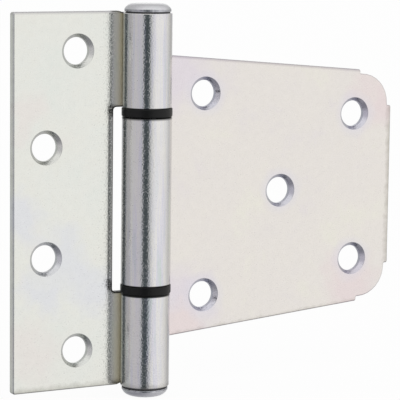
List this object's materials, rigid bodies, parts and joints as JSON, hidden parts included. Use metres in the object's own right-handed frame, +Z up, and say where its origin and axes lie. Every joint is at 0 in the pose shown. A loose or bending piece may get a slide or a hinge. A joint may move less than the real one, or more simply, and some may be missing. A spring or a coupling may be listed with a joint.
{
  "type": "gate hinge",
  "caption": "Gate hinge of zinc plated sheet steel: a narrow post leaf and a wide tapered gate leaf, rolled round a headed pin with black plastic washers between the knuckles.",
  "frame": {"origin": "on the post leaf's back face, at mid height, in the middle of its screw holes", "axes": "+Z up along the pin, +X from the post leaf to the gate leaf, +Y out of the leaves' backs, towards the post and the gate"},
  "size_m": [0.133, 0.0154, 0.1193],
  "materials": {
    "zinc_plated_steel": "bright zinc plate with a thin clear passivation, satin",
    "black_nylon": "moulded, matt"
  },
  "bodies": {
    "post": {"post_leaf": "zinc_plated_steel", "hinge_pin": "zinc_plated_steel", "bottom_plug": "zinc_plated_steel", "upper_washer": "black_nylon", "lower_washer": "black_nylon"},
    "gate": {"gate_leaf": "zinc_plated_steel"}
  },
  "joints": [
    {"name": "gate_swing", "type": "hinge", "parent": "post", "child": "gate", "pos_m": [0.0259, -0.00744, 0], "axis": [0, 0, -1], "range_deg": [-90, 180]}
  ]
}
